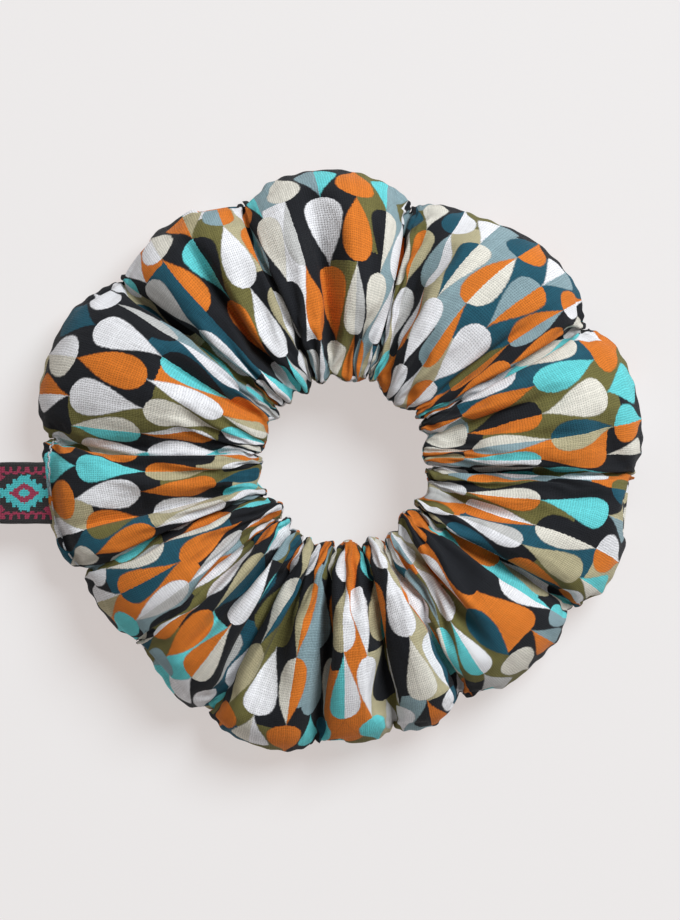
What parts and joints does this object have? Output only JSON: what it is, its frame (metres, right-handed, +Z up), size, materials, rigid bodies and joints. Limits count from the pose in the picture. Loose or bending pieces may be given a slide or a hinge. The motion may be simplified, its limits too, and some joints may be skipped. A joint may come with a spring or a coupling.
{
  "type": "scrunchie",
  "caption": "Gathered fabric hair tie: an elastic loop inside a printed cotton tube, with a small folded ribbon label in its rim seam.",
  "frame": {"origin": "centre of the hair opening, at mid-height of its inner edge", "axes": "+Z up out of the opening, away from the surface it rests on; +X away from the ribbon label, along the longest extent"},
  "size_m": [0.125, 0.1149, 0.022],
  "materials": {
    "printed_cotton": "matte",
    "elastic": "matte",
    "ribbon": "satin",
    "seam_thread": "satin",
    "edge_thread": "satin"
  },
  "bodies": {
    "end_a": {"cover_end_a": "printed_cotton", "elastic_end_a": "elastic", "seam_thread_end_a": "seam_thread", "elastic_lap": "elastic", "elastic_bartack": "edge_thread", "cross_seam_thread": "seam_thread"},
    "gather_01": {"cover_gather_01": "printed_cotton", "elastic_gather_01": "elastic", "seam_thread_gather_01": "seam_thread", "ribbon_tails": "ribbon", "closing_edge_stitch": "edge_thread"},
    "gather_02": {"cover_gather_02": "printed_cotton", "elastic_gather_02": "elastic", "seam_thread_gather_02": "seam_thread"},
    "gather_03": {"cover_gather_03": "printed_cotton", "elastic_gather_03": "elastic", "seam_thread_gather_03": "seam_thread"},
    "gather_04": {"cover_gather_04": "printed_cotton", "elastic_gather_04": "elastic", "seam_thread_gather_04": "seam_thread"},
    "gather_05": {"cover_gather_05": "printed_cotton", "elastic_gather_05": "elastic", "seam_thread_gather_05": "seam_thread"},
    "gather_06": {"cover_gather_06": "printed_cotton", "elastic_gather_06": "elastic", "seam_thread_gather_06": "seam_thread"},
    "gather_07": {"cover_gather_07": "printed_cotton", "elastic_gather_07": "elastic", "seam_thread_gather_07": "seam_thread"},
    "gather_08": {"cover_gather_08": "printed_cotton", "elastic_gather_08": "elastic", "seam_thread_gather_08": "seam_thread"},
    "gather_09": {"cover_gather_09": "printed_cotton", "elastic_gather_09": "elastic", "seam_thread_gather_09": "seam_thread"},
    "gather_10": {"cover_gather_10": "printed_cotton", "elastic_gather_10": "elastic", "seam_thread_gather_10": "seam_thread"},
    "gather_11": {"cover_gather_11": "printed_cotton", "elastic_gather_11": "elastic", "seam_thread_gather_11": "seam_thread"},
    "end_b": {"cover_end_b": "printed_cotton", "elastic_end_b": "elastic", "seam_thread_end_b": "seam_thread"},
    "label": {"ribbon_tab": "ribbon"}
  },
  "joints": [
    {"name": "stretch_01", "type": "slide", "parent": "end_a", "child": "gather_01", "axis": [-0.4226, 0.9063, 0], "range_m": [0, 0.01449], "stiffness_N_per_m": 120},
    {"name": "stretch_02", "type": "slide", "parent": "gather_01", "child": "gather_02", "axis": [0.0872, 0.9962, 0], "range_m": [0, 0.01449], "stiffness_N_per_m": 120},
    {"name": "stretch_03", "type": "slide", "parent": "gather_02", "child": "gather_03", "axis": [0.5736, 0.8192, 0], "range_m": [0, 0.01449], "stiffness_N_per_m": 120},
    {"name": "stretch_04", "type": "slide", "parent": "gather_03", "child": "gather_04", "axis": [0.9063, 0.4226, 0], "range_m": [0, 0.01449], "stiffness_N_per_m": 120},
    {"name": "stretch_05", "type": "slide", "parent": "gather_04", "child": "gather_05", "axis": [0.9962, -0.0872, 0], "range_m": [0, 0.01449], "stiffness_N_per_m": 120},
    {"name": "stretch_06", "type": "slide", "parent": "gather_05", "child": "gather_06", "axis": [0.8192, -0.5736, 0], "range_m": [0, 0.01449], "stiffness_N_per_m": 120},
    {"name": "stretch_07", "type": "slide", "parent": "gather_06", "child": "gather_07", "axis": [0.4226, -0.9063, 0], "range_m": [0, 0.01449], "stiffness_N_per_m": 120},
    {"name": "stretch_08", "type": "slide", "parent": "gather_07", "child": "gather_08", "axis": [-0.0872, -0.9962, 0], "range_m": [0, 0.01449], "stiffness_N_per_m": 120},
    {"name": "stretch_09", "type": "slide", "parent": "gather_08", "child": "gather_09", "axis": [-0.5736, -0.8192, 0], "range_m": [0, 0.01449], "stiffness_N_per_m": 120},
    {"name": "stretch_10", "type": "slide", "parent": "gather_09", "child": "gather_10", "axis": [-0.9063, -0.4226, 0], "range_m": [0, 0.01449], "stiffness_N_per_m": 120},
    {"name": "stretch_11", "type": "slide", "parent": "gather_10", "child": "gather_11", "axis": [-0.9962, 0.0872, 0], "range_m": [0, 0.01449], "stiffness_N_per_m": 120},
    {"name": "stretch_12", "type": "slide", "parent": "gather_11", "child": "end_b", "axis": [-0.8192, 0.5736, 0], "range_m": [0, 0.01449], "stiffness_N_per_m": 120},
    {"name": "label_flap", "type": "hinge", "parent": "gather_01", "child": "label", "pos_m": [-0.05785, -0.006, -0.0015], "axis": [0, 1, 0], "range_deg": [-40, 105], "stiffness_Nm_per_rad": 0.0002}
  ],
  "couplings": [
    {"joint": "stretch_02", "follows": "stretch_01", "ratio": 1},
    {"joint": "stretch_03", "follows": "stretch_01", "ratio": 1},
    {"joint": "stretch_04", "follows": "stretch_01", "ratio": 1},
    {"joint": "stretch_05", "follows": "stretch_01", "ratio": 1},
    {"joint": "stretch_06", "follows": "stretch_01", "ratio": 1},
    {"joint": "stretch_07", "follows": "stretch_01", "ratio": 1},
    {"joint": "stretch_08", "follows": "stretch_01", "ratio": 1},
    {"joint": "stretch_09", "follows": "stretch_01", "ratio": 1},
    {"joint": "stretch_10", "follows": "stretch_01", "ratio": 1},
    {"joint": "stretch_11", "follows": "stretch_01", "ratio": 1},
    {"joint": "stretch_12", "follows": "stretch_01", "ratio": 1}
  ]
}
